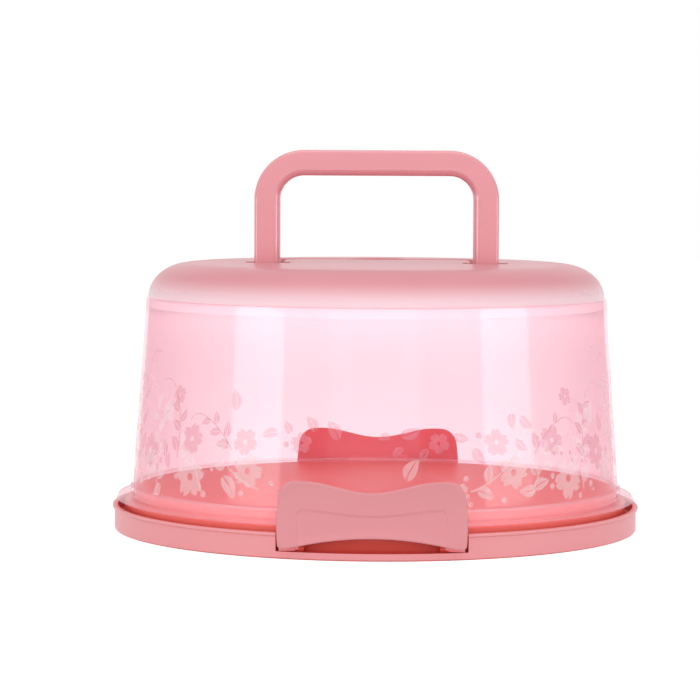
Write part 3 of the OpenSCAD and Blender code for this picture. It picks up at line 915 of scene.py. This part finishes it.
bpy.ops.object.mode_set(mode="EDIT")
bpy.ops.mesh.select_mode(type="FACE")
bpy.ops.mesh.select_all(action="SELECT")
bpy.ops.mesh.extrude_region_move(TRANSFORM_OT_translate={"value": (BEND_X, 0, 0)})
bpy.ops.mesh.spin(steps=BEND_STEPS, angle=-math.pi / 2, axis=(0, 1, 0),
                  center=(BEND_X, 0, HANDLE_TOP_Z - HANDLE_BEND_R))
bpy.ops.mesh.extrude_region_move(TRANSFORM_OT_translate={"value": (0, 0, LEG_DROP)})
angles = [HEEL_TURN * k / HEEL_STEPS for k in range(HEEL_STEPS + 1)]
for a, b in zip(angles, angles[1:]):
    bpy.ops.mesh.extrude_region_move(TRANSFORM_OT_translate={
        "value": (0, 0, -BAR_D / 2 * (math.sin(b) - math.sin(a)))})
    bpy.ops.transform.resize(value=(1, math.cos(b) / math.cos(a), 1), center_override=(LEG_X, 0, PIVOT_Z))
bpy.ops.mesh.select_all(action="DESELECT")
bpy.ops.object.mode_set(mode="OBJECT")

# the face in the middle of the bar is taken off, and the other half is mirrored onto it
for face in handle.data.polygons:
    face.select = abs(face.center.x) < WELD
bpy.ops.object.mode_set(mode="EDIT")
bpy.ops.mesh.delete(type="FACE")
bpy.ops.object.mode_set(mode="OBJECT")
twin = handle.modifiers.new("twin", "MIRROR")
twin.merge_threshold = WELD
bpy.ops.object.modifier_apply(modifier=twin.name)
bpy.ops.object.mode_set(mode="EDIT")
bpy.ops.mesh.select_all(action="SELECT")
bpy.ops.mesh.remove_doubles(threshold=WELD)
bpy.ops.mesh.normals_make_consistent(inside=False)
bpy.ops.object.mode_set(mode="OBJECT")
combine(handle, "DIFFERENCE", *(rod("bore", PIN_BORE_R, x - PIN_HALF_L, x + PIN_HALF_L, 0, PIVOT_Z)
                                for x in (-LEG_X, LEG_X)))
smooth(handle, HANDLE_CREASE)
handle_plastic = moulded_polypropylene("moulded_polypropylene_handle", HANDLE_PINK, HANDLE_FLOW,
                                       HANDLE_ROUGH, HANDLE_GRAIN, HANDLE_GRAIN_DEPTH, HANDLE_SPECULAR)
finish_with(handle, handle_plastic)
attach(handle, "handle")
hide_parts("handle")

# Studio: a white floor that keeps the carrier's shadow, two low panels beside the camera, which leave
# the two upright streaks on the clear wall, and soft light from both sides, front, back and above.
FLOOR_W = 8
PAPER_SHADE = (0.8, 0.8, 0.8, 1)
WHITE_GLOW = 0.66
ROOM_LIGHT = 0.45
LOW_PANEL_LEFT = math.radians(-55)
LOW_PANEL_RIGHT = math.radians(63)
LOW_PANEL_W = 0.46
LOW_PANEL_H = 0.165
LOW_PANEL_Z = 0.1025
LOW_PANEL_WATTS = 0.88
SIDE_BOX_TURN = math.radians(56)
SIDE_BOX_W = 0.38
SIDE_BOX_H = 1.7
SIDE_BOX_Z = 0.9
SIDE_BOX_AIM = (0, 0, 0.3)
SIDE_BOX_WATTS = 2.6
TOP_BOX_SPOT = (0, -0.2, 1.3)
TOP_BOX_W = 1.2
TOP_BOX_WATTS = 4
END_BOX_Y = 1.9
END_BOX_Z = 0.6
END_BOX_AIM = (0, 0, 0.08)
END_BOX_W = 1.6
END_BOX_H = 1.0
FRONT_BOX_WATTS = 10
REAR_BOX_WATTS = 4


def seen_white(tree):
    """1 for the rays that look at the studio, straight, in a gloss or through the clear wall, else 0."""
    path = add(tree, "ShaderNodeLightPath", {}, {})
    seen = add(tree, "ShaderNodeMath", {"operation": "MAXIMUM"},
               {0: path.outputs["Is Camera Ray"], 1: path.outputs["Is Glossy Ray"]})
    return add(tree, "ShaderNodeMath", {"operation": "MAXIMUM"},
               {0: seen.outputs[0], 1: path.outputs["Is Transmission Ray"]}).outputs[0]


bpy.ops.mesh.primitive_plane_add(size=FLOOR_W)
floor = bpy.context.object
floor.name = "floor"
paper = empty_material("white_studio_paper")
tree = paper.node_tree
glow = add(tree, "ShaderNodeMath", {"operation": "MULTIPLY"}, {0: seen_white(tree), 1: WHITE_GLOW})
sheet = add(tree, "ShaderNodeBsdfDiffuse", {}, {"Color": PAPER_SHADE})
shine = add(tree, "ShaderNodeEmission", {}, {"Strength": glow.outputs[0]})
total = add(tree, "ShaderNodeAddShader", {}, {0: sheet.outputs[0], 1: shine.outputs[0]})
add(tree, "ShaderNodeOutputMaterial", {}, {"Surface": total.outputs[0]})
finish_with(floor, paper)

world = bpy.data.worlds.new("studio")
bpy.context.scene.world = world
world.use_nodes = True
tree = world.node_tree
tree.nodes.clear()
level = add(tree, "ShaderNodeMapRange", {}, {0: seen_white(tree), 3: ROOM_LIGHT, 4: 1.0})
sky = add(tree, "ShaderNodeBackground", {}, {"Color": (1, 1, 1, 1), "Strength": level.outputs[0]})
add(tree, "ShaderNodeOutputWorld", {}, {"Surface": sky.outputs[0]})


def soft_box(name, spot, target, width, height, watts):
    """A rectangular soft box at a spot, facing a target."""
    lamp = bpy.data.lights.new(name, "AREA")
    lamp.shape = "RECTANGLE"
    lamp.size, lamp.size_y, lamp.energy = width, height, watts
    box = bpy.data.objects.new(name, lamp)
    bpy.context.scene.collection.objects.link(box)
    box.location = spot
    box.rotation_euler = (Vector(target) - Vector(spot)).to_track_quat("-Z", "Y").to_euler()
    return box


for turn, name in ((LOW_PANEL_LEFT, "low_panel_left"), (LOW_PANEL_RIGHT, "low_panel_right")):
    soft_box(name, (math.sin(turn), -math.cos(turn), LOW_PANEL_Z), (0, 0, LOW_PANEL_Z),
             LOW_PANEL_W, LOW_PANEL_H, LOW_PANEL_WATTS)
for turn, name in ((-SIDE_BOX_TURN, "soft_box_left"), (SIDE_BOX_TURN, "soft_box_right")):
    soft_box(name, (math.sin(turn), -math.cos(turn), SIDE_BOX_Z), SIDE_BOX_AIM,
             SIDE_BOX_W, SIDE_BOX_H, SIDE_BOX_WATTS).visible_glossy = False
soft_box("soft_box_top", TOP_BOX_SPOT, (0, 0, 0), TOP_BOX_W, TOP_BOX_W, TOP_BOX_WATTS)
front_box = soft_box("soft_box_front", (0, -END_BOX_Y, END_BOX_Z), END_BOX_AIM,
                     END_BOX_W, END_BOX_H, FRONT_BOX_WATTS)
front_box.visible_glossy = False
# the rear box would show through the clear wall, so it is hidden from every ray that looks at it
rear_box = soft_box("soft_box_rear", (0, END_BOX_Y, END_BOX_Z), END_BOX_AIM,
                    END_BOX_W, END_BOX_H, REAR_BOX_WATTS)
rear_box.visible_camera = False
rear_box.visible_glossy = False
rear_box.visible_transmission = False

# Camera: the photograph's viewpoint, a little above the carrier's middle and far enough away for its
# long lens. The distance is from the carrier's axis, the height from the surface it stands on.
CAMERA_DISTANCE = 1.40
CAMERA_HEIGHT = 0.1788
CAMERA_AZIMUTH = math.radians(0.61)
CAMERA_PITCH = math.radians(3.73)
CAMERA_YAW = math.radians(0.526)
CAMERA_ROLL = math.radians(0.3)
SENSOR_W = 36
LENS_LENGTH = 145.65

lens = bpy.data.cameras.new("camera")
lens.sensor_width = SENSOR_W
lens.lens = LENS_LENGTH
camera = bpy.data.objects.new("camera", lens)
bpy.context.scene.collection.objects.link(camera)
spot = Vector((math.sin(CAMERA_AZIMUTH), -math.cos(CAMERA_AZIMUTH), 0)) * CAMERA_DISTANCE
camera.matrix_world = (Matrix.Translation(spot + Vector((0, 0, CAMERA_HEIGHT)))
                       @ Matrix.Rotation(CAMERA_AZIMUTH + CAMERA_YAW, 4, "Z")
                       @ Matrix.Rotation(math.radians(90) - CAMERA_PITCH, 4, "X")
                       @ Matrix.Rotation(CAMERA_ROLL, 4, "Z"))
bpy.context.scene.camera = camera
bpy.context.scene.view_settings.view_transform = "Standard"
